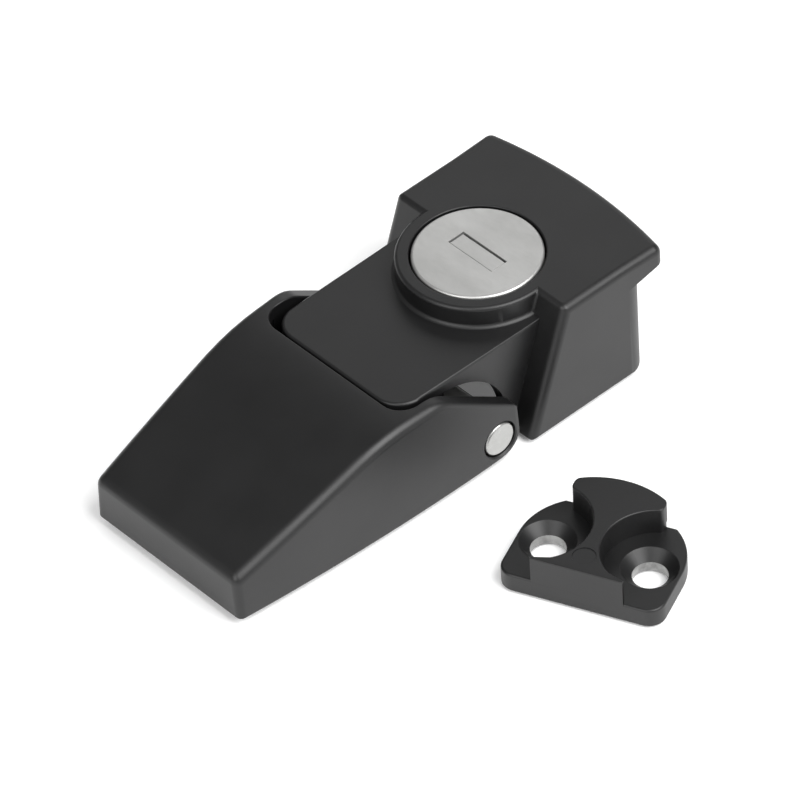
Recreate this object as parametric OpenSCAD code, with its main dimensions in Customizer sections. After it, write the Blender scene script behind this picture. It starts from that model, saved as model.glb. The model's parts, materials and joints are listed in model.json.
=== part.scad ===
// Key-locking over-centre draw latch with a concealed keeper.
// Frame: the panel plane is z = 0. The origin is the centre of the base's four screw holes on it.
// +X runs from the lever's free tip to the hood, +Z points away from the panel.

/* [Lever] */
// Where the lever's free tip stands along X
tip_x = -23.5; // [-24:0.1:-23]
// Where the ears end along X
ear_end_x = 38.5; // [38.3:0.1:38.8]
// Height of the lever's flat crown above the panel
lever_top = 22; // [21.8:0.1:22.2]
// Height of the top edge at the tip
tip_top = 10.4; // [9.5:0.1:11.5]
// Gap between the tip and the panel
tip_gap = 1.2; // [0.8:0.1:2]
// Largest half width of the lever and of the ears
lever_half_w = 21; // [20.8:0.1:21.2]
// Radius of the lever's long bowed sides, seen from above
side_bow_r = 780; // [700:10:900]
// Wall thickness of the lever casting
lever_wall = 2.5; // [2.2:0.1:2.7]
// Edge of the notch that the head's neck lies in
notch_x = 14.7; // [14.5:0.1:14.8]
// Half width of that notch, which is the inner face of the ears
ear_in = 17.6; // [17.5:0.05:17.7]

/* [Pivots] */
// Main pivot between base and lever, along X
pivot_x = 33.8; // [33.7:0.05:33.9]
// Height of the main pivot
pivot_z = 5.7; // [5.6:0.05:5.8]
// Radius of the main pivot pin
pivot_r = 3.2; // [3:0.05:3.3]
// Link pivot between lever and head, along X
link_x = 24.5; // [24.4:0.05:24.6]
// Height of the link pivot, below the main pivot so that the latch goes over centre
link_z = 4.2; // [4.1:0.05:4.3]
// Radius of the link pin
link_r = 2; // [1.9:0.05:2]
// Radial running clearance of the pins and of the lock plug
run_gap = 0.05; // [0.03:0.01:0.08]

/* [Base] */
// Thickness of the base plate
base_t = 1.9; // [1.6:0.1:1.9]
// Spacing of the screw holes along X
screw_dx = 18; // [16:0.5:19]
// Spacing of the screw holes along Y
screw_dy = 16; // [14:0.5:17]
// Radius of the screw holes
screw_r = 2.25; // [2:0.05:2.5]

/* [Draw head] */
// Where the neck ends, inside the notch
neck_x = 15.4; // [15.3:0.05:15.5]
// Height of the neck's top face
neck_top = 21.2; // [21:0.1:21.4]
// Half width of the neck
neck_half_w = 16.2; // [16:0.1:16.4]
// Height of the hood and of the lock boss
hood_top = 25.4; // [25:0.1:26]
// Half width of the hood
hood_half_w = 21.2; // [20.8:0.1:21.5]
// Furthest point of the hood's bowed brim
hood_end_x = 74.7; // [74:0.1:75.5]
// Far wall of the hood, below the brim
far_wall_x = 69; // [68.5:0.1:69.5]
// Foot of the wall that faces the neck
near_wall_x = 40.6; // [40.4:0.1:40.8]
// Radius of the arch in the neck's skirts, about the link pivot
arch_r = 15; // [14.8:0.1:15]

/* [Lock] */
// Lock axis along X
lock_x = 49.2; // [49:0.05:49.4]
// Outer radius of the boss around the lock
boss_r = 14.3; // [14.1:0.05:14.6]
// Radius of the bore that the lock sits in
well_r = 11.8; // [11.7:0.05:11.9]
// Radius of the bright cap
cap_r = 11.45; // [11.3:0.05:11.5]
// Radius of the plug's shank
plug_r = 8.55; // [8.4:0.05:8.6]

/* [Keeper] */
// Length of the keeper's plate
keeper_l = 20; // [19.7:0.1:20.3]
// Half width of the keeper's plate
keeper_half_w = 14.75; // [14.5:0.05:15]
// Thickness of the keeper's plate
keeper_t = 3.7; // [3.5:0.1:4]
// Height of the hook post
post_h = 8.9; // [8.5:0.1:9]
// Turn of the loose keeper about Z
keeper_yaw = 24; // [0:1:45]
// Middle of the keeper's front edge along X
keeper_x = 18.8; // [10:0.1:30]
// Middle of the keeper's front edge along Y
keeper_y = -55.1; // [-60:0.1:-50]
// Half distance between the keeper's screw holes
keeper_hole_y = 9.2; // [9:0.1:9.5]
// Distance of those holes from the front edge
keeper_hole_x = 9.8; // [9.5:0.1:10]
// Radius of the keeper's screw holes
keeper_hole_r = 3.1; // [2.9:0.05:3.3]

/* [Hidden] */
$fn = 96;
eps = 0.02;

black = [0.13, 0.13, 0.14];
steel = [0.78, 0.78, 0.76];
zinc = [0.62, 0.63, 0.64];
brass = [0.80, 0.66, 0.36];
rubber = [0.08, 0.08, 0.08];

// lever
bow_x = 45;
bow_top = lever_half_w + 0.2;
crown_x = 16;
crown_r = 38;
crown_turn = 19;
notch_corner = 4.5;
notch_reach = 20.05;
ear_round = 4.7;
ear_foot = 1;
ear_slope_start = [22.3, lever_top];
ear_slope_end = [37.7, 11.1];
ear_corner_z = 9.6;
hollow_end_x = notch_x + 4;
hollow_tip_top = tip_top - lever_wall + 0.6;
link_boss_r = 3.6;
link_boss_in = 13.9;
link_pin_blind_y = -19.4;
link_pin_open_y = 20.5;
pin_chamfer = 0.6;
pin_recess = 0.1;
pin_sink_w = 0.8;

// base
lug_in = 13.9;
lug_out = 17.3;
lug_foot_x = 28.9;
base_start = -17;
base_end = 40.6;
base_half_w = 13.2;
spine_half_w = 7.4;
window_start = 19.6;
yoke_start = lug_foot_x + 1;
yoke_end = pivot_x + ear_round - 0.3;
rib_inset = 2;
rib_w = 1.6;
rib_top = 4.4;

// draw head
neck_corner = 3.5;
neck_wall = 2.4;
skirt_in = 13.7;
skirt_foot = 0.8;
hood_wall = 2.5;
top_wall = 3;
hood_slope_x = 49.8;
brim_r = 90;
brim_flare = 0.5;
brim_under = 19.6;
brim_lip = 21.8;
hood_corner = 4.5;
inner_corner = 1.2;
foot_wall = 2.8;
shoulder_wall = 1.6;
keeper_room_x = 41.6;
keeper_room_end = 62.5;
keeper_room_half_w = 15.2;
keeper_room_top = 4.2;
lug_y_in = 8.4;
lug_y_out = 13.5;
bead_l = 2.4;
bead_half_w = 10;
bead_top = 4.4;

// lock, upwards from the cam screw
screw_head_z = 9.7;
washer_z = 10.9;
cam_z = 11.4;
cam_t = 1.8;
plug_foot = 13.3;
sleeve_foot = 14.2;
sleeve_top = 20.7;
head_foot = 22;
cap_wall = 0.6;
sleeve_r = well_r;
cam_reach = 11.4;
cam_finger_t = 2.2;
cam_finger_foot = 5.2;
cam_w = 6.4;
cam_hub_r = 5.2;
tang_w = 6;
tang_h = 3;
groove_w = 0.6;
groove_r = 7.8;
clip_t = 0.5;
clip_r = 10.2;
clip_gap = 5;
sleeve_screw_r = 1;
sleeve_screw_z = 17.5;
sleeve_screw_l = 3.3;
cam_bolt_r = 1.5;
cam_bolt_head_r = 3.2;
cam_bolt_l = 4.4;
recess_half_l = 1.6;
recess_half_w = 0.3;
recess_depth = 0.8;
washer_r = 4.4;
washer_bore_r = 1.6;
wafer_t = 1;
wafer_z = 15;
wafer_pitch = 1.4;
wafer_w = 6;
wafer_r = plug_r - 0.15;
key_l = 9.6;
key_w = 2.8;
lug_w = 1.6;
wafer_lug_y = -0.9;
spring_r = 0.5;
spring_bore_r = 0.3;
spring_l = 3.4;
spring_y = -4.3;
shutter_l = 10.4;
shutter_w = 3.1;
shutter_t = 0.7;
shutter_gap = 0.3;
shutter_axis_x = 2.05;
shutter_axis_z = hood_top - 1.45;
shutter_pin_r = 0.3;
shutter_pin_half_l = 6.2;
shutter_drop = 0.15;
knuckle_r = 0.6;
knuckle_half_l = 3.8;
cap_chamfer = 0.5;
pocket_foot = 20;

// keeper
post_round = 16;
post_arc_x = 22.9;
waist_r = 9.3;
waist_x = 9.2;
waist_y = 10.56;
post_half_w = 8.3;
hook_under = 4.9;
sink_r = 4.95;
front_corner_r = 3;
back_corner_r = 12;
back_corner_x = 10.5;
mark_x = 3.7;
mark_r = 2.2;
mark_depth = 0.2;

// A shape drawn in X and Z, made w thick and centred on y = 0.
module across(w) {
    rotate([90, 0, 0]) linear_extrude(w, center = true) children();
}

// A cylinder along Y between two y values.
module y_rod(x, z, r, y0, y1) {
    translate([x, y1, z]) rotate([90, 0, 0]) cylinder(r = r, h = y1 - y0);
}

// The same thing on both sides of the middle plane.
module both_sides() {
    children();
    mirror([0, 1, 0]) children();
}

// A box from its low corner to its high corner.
module block(low, high) {
    translate(low) cube(high - low);
}

// Circular arc about [cx, cz], from angle a0 to a1, as points.
function arc(cx, cz, r, a0, a1, n) =
    [for (i = [0:n]) [cx + r * cos(a0 + (a1 - a0) * i / n), cz + r * sin(a0 + (a1 - a0) * i / n)]];

// ---------- lever ----------

// Plan of the lever between its two bowed sides, drawn in by inset.
module lever_plan(inset) {
    intersection() {
        translate([bow_x, bow_top - side_bow_r]) circle(r = side_bow_r - inset, $fn = 720);
        translate([bow_x, side_bow_r - bow_top]) circle(r = side_bow_r - inset, $fn = 720);
        translate([tip_x + inset, -lever_half_w]) square([100, 2 * lever_half_w]);
    }
}

// Side view of the lever: straight ramp, rounded crown, ears down to the pivot.
module lever_side() {
    crown = arc(crown_x, lever_top - crown_r, crown_r, 90, 90 + crown_turn, 8);
    foot = arc(pivot_x, pivot_z, ear_round, -90, 0, 10);
    polygon(concat([[tip_x, tip_gap]], foot,
        [[ear_end_x, ear_corner_z], ear_slope_end, ear_slope_start],
        crown, [[tip_x, tip_top]]));
}

// Inside of the casting, seen from the side.
module lever_hollow_side() {
    crown = arc(crown_x, lever_top - crown_r, crown_r - lever_wall, 90, 90 + crown_turn, 8);
    polygon(concat([[tip_x + lever_wall, -1], [hollow_end_x, -1], [hollow_end_x, lever_top - lever_wall]],
        crown, [[tip_x + lever_wall, hollow_tip_top]]));
}

// Plan of the notch between the ears.
module notch_plan() {
    difference() {
        translate([notch_x, -ear_in]) square([60, 2 * ear_in]);
        for (s = [-1, 1]) {
            translate([notch_x - eps, s > 0 ? ear_in - notch_corner : -ear_in - eps])
                square([notch_corner + eps, notch_corner + eps]);
        }
    }
    for (s = [-1, 1]) {
        translate([notch_x + notch_corner, s * (ear_in - notch_corner)]) circle(r = notch_corner);
    }
}

module lever() {
    color(black) difference() {
        union() {
            difference() {
                intersection() {
                    linear_extrude(40) lever_plan(0);
                    across(60) lever_side();
                }
                intersection() {
                    translate([0, 0, -2]) linear_extrude(40) lever_plan(lever_wall);
                    across(60) lever_hollow_side();
                }
                translate([0, 0, -1]) linear_extrude(40) notch_plan();
                y_rod(link_x, link_z, notch_reach, -neck_half_w - 0.2, neck_half_w + 0.2);
            }
            both_sides() intersection() {
                y_rod(link_x, link_z, link_boss_r, link_boss_in, ear_in + 1);
                block([0, 0, ear_foot], [60, 40, 20]);
            }
        }
        y_rod(pivot_x, pivot_z, pivot_r + run_gap, -40, 40);
        y_rod(link_x, link_z, link_r, link_pin_blind_y, 40);
        both_sides() translate([pivot_x, lever_half_w + 0.2, pivot_z]) rotate([90, 0, 0])
            cylinder(r1 = pivot_r + pin_sink_w, r2 = pivot_r, h = pin_sink_w);
    }
}

module link_pin() {
    color(steel) y_rod(link_x, link_z, link_r, link_pin_blind_y, link_pin_open_y);
}

// ---------- base ----------

module base_plate() {
    color(zinc) difference() {
        union() {
            block([base_start, -base_half_w, 0], [window_start, base_half_w, base_t]);
            block([window_start - eps, -spine_half_w, 0], [base_end, spine_half_w, base_t]);
            block([yoke_start, -lug_out, 0], [yoke_end, lug_out, base_t]);
            block([yoke_start, -base_half_w, 0], [base_end, base_half_w, base_t]);
            both_sides() {
                y_rod(pivot_x, pivot_z, ear_round, lug_in, lug_out);
                block([lug_foot_x + 0.3, lug_in, 0], [yoke_end, lug_out, pivot_z]);
            }
            // raised ribs that stiffen the plate beside the screws
            both_sides() block([base_start + rib_inset, base_half_w - rib_w, 0],
                [window_start - rib_inset, base_half_w, rib_top]);
        }
        for (x = [-screw_dx / 2, screw_dx / 2]) {
            for (y = [-screw_dy / 2, screw_dy / 2]) {
                translate([x, y, -1]) cylinder(r = screw_r, h = base_t + 2);
            }
        }
        y_rod(pivot_x, pivot_z, pivot_r, -40, 40);
    }
}

// The visible pin: chamfered at both ends, just below the face of the ears.
module pivot_pin() {
    half = lever_half_w - pin_recess;
    color(steel) union() {
        y_rod(pivot_x, pivot_z, pivot_r, -half + pin_chamfer, half - pin_chamfer);
        both_sides() translate([pivot_x, half, pivot_z]) rotate([90, 0, 0])
            cylinder(r1 = pivot_r - pin_chamfer, r2 = pivot_r, h = pin_chamfer);
    }
}

// ---------- draw head ----------

// Plan of the neck, drawn in by inset, up to a given x.
module neck_plan(inset, reach) {
    half = neck_half_w - inset;
    r = neck_corner - min(inset, neck_corner - 1);
    x0 = neck_x + inset;
    union() {
        translate([x0 + r, -half]) square([reach - x0 - r, 2 * half]);
        translate([x0, -half + r]) square([reach - x0, 2 * (half - r)]);
        for (s = [-1, 1]) {
            translate([x0 + r, s * (half - r)]) circle(r = r);
        }
    }
}

// Plan of the hood below the brim, with rounded far corners.
module hood_plan(x0, x1, half, r) {
    union() {
        translate([x0, -half]) square([x1 - x0 - r, 2 * half]);
        translate([x0, -half + r]) square([x1 - x0, 2 * (half - r)]);
        for (s = [-1, 1]) {
            translate([x1 - r, s * (half - r)]) circle(r = r);
        }
    }
}

// Plan of the brim: it widens a little towards its bowed far edge.
module brim_plan() {
    brim_start = far_wall_x - hood_corner;
    brim_half_w = hood_half_w + brim_flare;
    intersection() {
        translate([hood_end_x - brim_r, 0]) circle(r = brim_r, $fn = 360);
        polygon([[near_wall_x, -hood_half_w], [brim_start, -hood_half_w], [hood_end_x, -brim_half_w],
            [hood_end_x, brim_half_w], [brim_start, hood_half_w], [near_wall_x, hood_half_w]]);
    }
}

module hood_outside() {
    intersection() {
        union() {
            translate([0, 0, skirt_foot]) linear_extrude(hood_top - skirt_foot)
                hood_plan(near_wall_x, far_wall_x, hood_half_w, hood_corner);
            linear_extrude(hood_top) brim_plan();
        }
        across(60) polygon([[near_wall_x, skirt_foot], [hood_slope_x, hood_top], [hood_end_x + 1, hood_top],
            [hood_end_x + 1, brim_lip], [far_wall_x, brim_under], [far_wall_x, skirt_foot]]);
    }
}

module hood_inside() {
    roof = hood_top - top_wall;
    intersection() {
        translate([0, 0, -1]) linear_extrude(40)
            hood_plan(near_wall_x, far_wall_x - hood_wall + 0.1, hood_half_w - hood_wall, inner_corner);
        across(60) polygon([[near_wall_x + foot_wall, -2], [near_wall_x + foot_wall, skirt_foot],
            [hood_slope_x + shoulder_wall, roof], [far_wall_x, roof], [far_wall_x, -2]]);
    }
}

// Skirts down both sides of the neck as far as the hood, cut by the arch that clears the base lugs.
module neck_skirts() {
    difference() {
        translate([0, 0, skirt_foot]) linear_extrude(neck_top - skirt_foot - 1) neck_plan(0, lock_x);
        translate([0, 0, -1]) linear_extrude(40) neck_plan(neck_half_w - skirt_in, near_wall_x + 20);
        y_rod(link_x, link_z, arch_r, -40, 40);
        hood_inside();
    }
}

// Lug that hangs from the neck down to the link pin.
module head_lug() {
    y_rod(link_x, link_z, link_boss_r, lug_y_in, lug_y_out);
    block([link_x - link_boss_r, lug_y_in, link_z], [link_x + link_boss_r, lug_y_out, neck_top - 1]);
}

module draw_head() {
    color(black) difference() {
        union() {
            translate([0, 0, neck_top - neck_wall]) linear_extrude(neck_wall) neck_plan(0, lock_x + 4);
            neck_skirts();
            both_sides() head_lug();
            difference() {
                hood_outside();
                hood_inside();
                translate([0, 0, -1]) linear_extrude(neck_top - neck_wall + 1)
                    neck_plan(neck_half_w - skirt_in, lock_x);
            }
            // bead inside the far wall that goes under the keeper's hook
            block([far_wall_x - hood_wall - bead_l + 0.1, -bead_half_w, skirt_foot],
                [far_wall_x - 1, bead_half_w, bead_top]);
            translate([lock_x, 0, sleeve_foot]) cylinder(r = boss_r, h = hood_top - sleeve_foot);
        }
        translate([lock_x, 0, 0]) cylinder(r = well_r, h = 40);
        y_rod(link_x, link_z, link_r + run_gap, -40, 40);
        translate([lock_x + well_r - 1, 0, sleeve_screw_z]) rotate([0, 90, 0])
            cylinder(r = sleeve_screw_r, h = boss_r - well_r + 2);
        // room for the edges of the mounted keeper's plate
        block([keeper_room_x, -keeper_room_half_w, -1],
            [keeper_room_end, keeper_room_half_w, keeper_room_top]);
    }
}

// ---------- lock ----------

module lock_sleeve() {
    color(zinc) translate([lock_x, 0, 0]) difference() {
        translate([0, 0, sleeve_foot]) cylinder(r = sleeve_r, h = sleeve_top - sleeve_foot);
        cylinder(r = plug_r + run_gap, h = 40);
        // two slots that the wafers spring into when the key is out
        for (s = [-1, 1]) {
            translate([-wafer_w / 2 - 0.1, s > 0 ? plug_r - 1 : -plug_r - 0.9, wafer_z - 0.3])
                cube([wafer_w + 0.2, 1.9, 5.6]);
        }
        translate([well_r - 1.2, 0, sleeve_screw_z]) rotate([0, 90, 0]) cylinder(r = sleeve_screw_r, h = 3);
    }
}

// Grub screw through the wall of the well into the sleeve.
module sleeve_screw() {
    color(steel) translate([lock_x + well_r - 1.2, 0, sleeve_screw_z]) rotate([0, 90, 0]) difference() {
        cylinder(r = sleeve_screw_r, h = sleeve_screw_l);
        translate([0, 0, sleeve_screw_l - 0.8]) cylinder(r = sleeve_screw_r / 2, h = 2, $fn = 6);
    }
}

// Pocket that the shutter folds into, and the keyway below it.
module key_space() {
    translate([-shutter_w / 2 - 0.4, -shutter_l / 2 - 0.3, pocket_foot])
        cube([shutter_axis_x + 0.8 + shutter_w / 2 + 0.4, shutter_l + 0.6, 10]);
    translate([-key_w / 2, -key_l / 2, wafer_z - 0.6]) cube([key_w, key_l, 10]);
}

module lock_plug() {
    color(zinc) translate([lock_x, 0, 0]) difference() {
        union() {
            translate([0, 0, plug_foot]) cylinder(r = plug_r, h = head_foot - plug_foot + 1);
            translate([0, 0, head_foot]) cylinder(r = cap_r - cap_wall, h = hood_top - cap_wall - head_foot);
            translate([-tang_w / 2, -tang_w / 2, cam_z + 0.1]) cube([tang_w, tang_w, tang_h]);
        }
        key_space();
        for (i = [0:3]) {
            translate([0, 0, wafer_z + i * wafer_pitch - 0.05]) {
                translate([-wafer_w / 2 - 0.05, -10, 0]) cube([wafer_w + 0.1, 20, wafer_t + 0.1]);
                translate([wafer_w / 2 - 0.1, spring_y - 0.1, 0]) cube([lug_w + 0.3, 6.4, wafer_t + 0.1]);
            }
        }
        shutter_rod(shutter_pin_r, shutter_pin_half_l);
        // groove for the clip and thread for the cam screw
        translate([0, 0, sleeve_foot - 0.65]) difference() {
            cylinder(r = clip_r, h = groove_w);
            translate([0, 0, -1]) cylinder(r = groove_r, h = 3);
        }
        cylinder(r = cam_bolt_r, h = sleeve_foot);
    }
}

// Pressed steel cap over the head of the plug, with the window for the key.
module plug_cap() {
    rim_z = hood_top - cap_chamfer;
    cap_foot = head_foot + 0.1;
    color(steel) translate([lock_x, 0, 0]) difference() {
        union() {
            translate([0, 0, cap_foot]) cylinder(r = cap_r, h = rim_z - cap_foot);
            translate([0, 0, rim_z]) cylinder(r1 = cap_r, r2 = cap_r - cap_chamfer, h = cap_chamfer);
        }
        cylinder(r = cap_r - cap_wall, h = hood_top - cap_wall);
        translate([-shutter_w / 2 - shutter_gap, -shutter_l / 2 - shutter_gap, 20])
            cube([shutter_w + 2 * shutter_gap - 0.1, shutter_l + 2 * shutter_gap, 10]);
    }
}

// A cylinder on the shutter's axis, in the lock's own frame.
module shutter_rod(r, half_l) {
    translate([shutter_axis_x, -half_l, shutter_axis_z]) rotate([-90, 0, 0]) cylinder(r = r, h = 2 * half_l);
}

// Flap that closes the keyway, with a leg down to its pin.
module key_shutter() {
    top = hood_top - shutter_drop;
    color(steel) translate([lock_x, 0, 0]) difference() {
        union() {
            translate([-shutter_w / 2, -shutter_l / 2, top - shutter_t])
                cube([shutter_w, shutter_l, shutter_t]);
            translate([shutter_w / 2 - knuckle_r, -knuckle_half_l, shutter_axis_z])
                cube([knuckle_r, 2 * knuckle_half_l, top - shutter_axis_z]);
            shutter_rod(knuckle_r, knuckle_half_l);
        }
        shutter_rod(shutter_pin_r + run_gap, knuckle_half_l + 2);
    }
}

module shutter_pin() {
    color(steel) translate([lock_x, 0, 0]) shutter_rod(shutter_pin_r, shutter_pin_half_l);
}

// Small torsion spring beside the shutter's knuckle, as a close-wound tube.
module shutter_spring() {
    color(steel) translate([lock_x + shutter_axis_x, knuckle_half_l + 0.3, shutter_axis_z])
        rotate([-90, 0, 0]) difference() {
            cylinder(r = 0.65, h = 1.2);
            translate([0, 0, -1]) cylinder(r = 0.4, h = 4);
        }
}

// One wafer: a plate with the key's window and a lug for its spring.
module wafer(i, window_shift) {
    color(brass) translate([lock_x, 0, wafer_z + i * wafer_pitch]) difference() {
        union() {
            intersection() {
                cylinder(r = wafer_r, h = wafer_t);
                translate([-wafer_w / 2, -10, -1]) cube([wafer_w, 20, 4]);
            }
            translate([wafer_w / 2 - 0.2, wafer_lug_y, 0]) cube([lug_w, 1.2, wafer_t]);
        }
        translate([-key_w / 2 - 0.1, window_shift - key_l / 2, -1]) cube([key_w + 0.2, key_l - 1, 4]);
    }
}

module wafer_1() { wafer(0, 0.2); }
module wafer_2() { wafer(1, 0.9); }
module wafer_3() { wafer(2, 0.5); }
module wafer_4() { wafer(3, 1.2); }

// One spring behind the lug of each wafer, drawn as its outer tube.
module wafer_springs() {
    color(steel) for (i = [0:3]) {
        translate([lock_x + wafer_w / 2 + 0.7, spring_y, wafer_z + i * wafer_pitch + wafer_t / 2])
            rotate([-90, 0, 0]) difference() {
                cylinder(r = spring_r, h = spring_l);
                translate([0, 0, -1]) cylinder(r = spring_bore_r, h = spring_l + 2);
            }
    }
}

// Seal under the head of the plug.
module seal_ring() {
    color(rubber) translate([lock_x, 0, (sleeve_top + head_foot) / 2]) rotate_extrude()
        translate([10, 0]) circle(r = 0.6, $fn = 32);
}

// Open ring in the plug's groove that keeps the plug in the sleeve.
module plug_clip() {
    color(steel) translate([lock_x, 0, sleeve_foot - groove_w]) difference() {
        cylinder(r = clip_r, h = clip_t);
        translate([0, 0, -1]) cylinder(r = groove_r, h = 3);
        translate([0, -clip_gap / 2, -1]) cube([clip_r + 2, clip_gap, 3]);
    }
}

// Cam with a finger that drops in front of the keeper's post when the key is turned.
module lock_cam() {
    color(steel) translate([lock_x, 0, 0]) difference() {
        union() {
            translate([0, 0, cam_z]) cylinder(r = cam_hub_r, h = cam_t);
            translate([-cam_w / 2, 0, cam_z]) cube([cam_w, cam_reach, cam_t]);
            translate([-cam_w / 2, cam_reach - cam_finger_t, cam_finger_foot])
                cube([cam_w, cam_finger_t, cam_z - cam_finger_foot + 1]);
        }
        translate([-tang_w / 2, -tang_w / 2, 0]) cube([tang_w, tang_w, 30]);
    }
}

module cam_washer() {
    color(steel) translate([lock_x, 0, washer_z]) difference() {
        cylinder(r = washer_r, h = cam_z - washer_z);
        translate([0, 0, -1]) cylinder(r = washer_bore_r, h = 3);
    }
}

module cam_screw() {
    color(steel) translate([lock_x, 0, screw_head_z]) difference() {
        union() {
            cylinder(r = cam_bolt_head_r, h = washer_z - screw_head_z);
            cylinder(r = cam_bolt_r, h = cam_bolt_l);
        }
        for (a = [0, 90]) {
            rotate([0, 0, a]) translate([-recess_half_l, -recess_half_w, -1])
                cube([2 * recess_half_l, 2 * recess_half_w, recess_depth + 1]);
        }
    }
}

// ---------- keeper ----------

// Plate: square front corners eased by small arcs, round back corners.
module keeper_plan() {
    front = front_corner_r;
    intersection() {
        union() {
            translate([0, -keeper_half_w + front]) square([back_corner_x, 2 * (keeper_half_w - front)]);
            translate([front, -keeper_half_w]) square([back_corner_x - front, 2 * keeper_half_w]);
            for (s = [-1, 1]) {
                translate([front, s * (keeper_half_w - front)]) circle(r = front);
                translate([back_corner_x, s * (keeper_half_w - back_corner_r)]) circle(r = back_corner_r);
            }
        }
        translate([0, -20]) square([keeper_l, 40]);
    }
}

// Post: blunt front, narrow waist between the screws, fan-shaped hook.
module post_plan() {
    difference() {
        intersection() {
            translate([0, -post_half_w]) square([30, 2 * post_half_w]);
            translate([post_arc_x - post_round, 0]) circle(r = post_round);
        }
        for (s = [-1, 1]) {
            translate([waist_x, s * waist_y]) circle(r = waist_r);
        }
    }
}

module keeper() {
    color(black) translate([keeper_x, keeper_y, 0]) rotate([0, 0, keeper_yaw]) difference() {
        union() {
            linear_extrude(keeper_t) keeper_plan();
            intersection() {
                linear_extrude(post_h) post_plan();
                translate([0, -20, 0]) cube([keeper_l, 40, 20]);
            }
            translate([0, 0, hook_under]) linear_extrude(post_h - hook_under) post_plan();
        }
        for (s = [-1, 1]) {
            translate([keeper_hole_x, s * keeper_hole_y, 0]) {
                translate([0, 0, -1]) cylinder(r = keeper_hole_r, h = 20);
                translate([0, 0, keeper_t - (sink_r - keeper_hole_r)])
                    cylinder(r1 = keeper_hole_r, r2 = sink_r + 1, h = sink_r - keeper_hole_r + 1);
            }
        }
        // round mark left by an ejector pin
        translate([mark_x, 0, post_h - mark_depth]) cylinder(r = mark_r, h = 1);
    }
}

base_plate();
pivot_pin();
keeper();
lever();
link_pin();
draw_head();
lock_sleeve();
sleeve_screw();
lock_plug();
plug_cap();
shutter_pin();
shutter_spring();
wafer_1();
wafer_2();
wafer_3();
wafer_4();
wafer_springs();
seal_ring();
plug_clip();
lock_cam();
cam_washer();
cam_screw();
key_shutter();
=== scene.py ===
"""Visual model of a key-locking draw latch and its loose keeper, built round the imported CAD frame."""
import json
import math

import bmesh
import bpy
from mathutils import Matrix, Vector


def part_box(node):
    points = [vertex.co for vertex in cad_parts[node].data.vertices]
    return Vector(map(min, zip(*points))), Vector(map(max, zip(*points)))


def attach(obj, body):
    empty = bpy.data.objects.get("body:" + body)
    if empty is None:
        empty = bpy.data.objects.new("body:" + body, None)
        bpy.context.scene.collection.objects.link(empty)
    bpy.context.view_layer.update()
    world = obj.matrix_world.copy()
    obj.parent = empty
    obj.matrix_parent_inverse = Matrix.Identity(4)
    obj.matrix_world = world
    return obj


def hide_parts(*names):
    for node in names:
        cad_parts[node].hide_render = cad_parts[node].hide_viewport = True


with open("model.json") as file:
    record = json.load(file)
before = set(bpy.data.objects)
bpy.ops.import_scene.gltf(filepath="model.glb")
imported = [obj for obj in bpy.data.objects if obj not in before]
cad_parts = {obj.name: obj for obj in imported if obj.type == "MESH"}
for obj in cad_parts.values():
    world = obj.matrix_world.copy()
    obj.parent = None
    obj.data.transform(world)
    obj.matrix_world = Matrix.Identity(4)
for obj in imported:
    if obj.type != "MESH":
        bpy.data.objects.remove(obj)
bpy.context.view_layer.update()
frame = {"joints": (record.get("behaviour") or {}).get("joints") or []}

# ---------------------------------------------------------------- sizes, in millimetres

MM = 1000
TINY = 0.01


def mm(vector):
    """A vector of the frame, in millimetres."""
    return Vector(vector) * MM


def box_mm(node):
    """Lowest and highest corner of a CAD node, in millimetres."""
    low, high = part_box(node)
    return mm(low), mm(high)


joints = {joint["name"]: joint for joint in frame["joints"]}
pivot = mm(joints["lever_hinge"]["pos_m"])
link = mm(joints["head_hinge"]["pos_m"])
lock = mm(joints["plug_turn"]["pos_m"])
flap_pin = mm(joints["shutter_hinge"]["pos_m"])

lever_low, lever_high = box_mm("lever")
head_low, head_high = box_mm("draw_head")
keeper_high = box_mm("keeper")[1]
cap_low, cap_high = box_mm("plug_cap")
base_low, base_high = box_mm("base_plate")
cam_low, cam_high = box_mm("lock_cam")
screw_low, screw_high = box_mm("cam_screw")
washer_low, washer_high = box_mm("cam_washer")
shutter_low, shutter_high = box_mm("key_shutter")
spring_low, spring_high = box_mm("wafer_springs")

# lever
tip_x = lever_low.x
ear_end_x = lever_high.x
lever_top = lever_high.z
lever_half_w = lever_high.y
ear_foot = lever_low.z
tip_gap = 1.2
foot_sag = 0.35
tip_top = 10.4
bow_r = 760
bow_x = 42
bow_rise = 0.1
crown_x = 16
crown_r = 38
crown_turn = math.radians(19)
notch_x = 14.7
notch_corner = 4.0
ear_in = 17.6
ear_round = ear_end_x - pivot.x
ear_slope_x = 21.9
ear_slope = math.radians(34.6)
ear_corner_r = 2.2
ear_corner_x = ear_end_x - ear_corner_r * (1 - math.sin(ear_slope))
ear_ease = 0.6
bend_r = 7
bend_start = ear_slope_x - bend_r * math.tan(ear_slope / 2)
bend_end = bend_start + bend_r * math.sin(ear_slope)
notch_reach = 19.6
corner_reach = 19.1
lever_wall = 2.5
lever_round = 2.0
reach_half_w = 13.2
side_y = 10
link_boss_in = 13.9
link_bore_end = 19.4
gap_depth = 1.4

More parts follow.
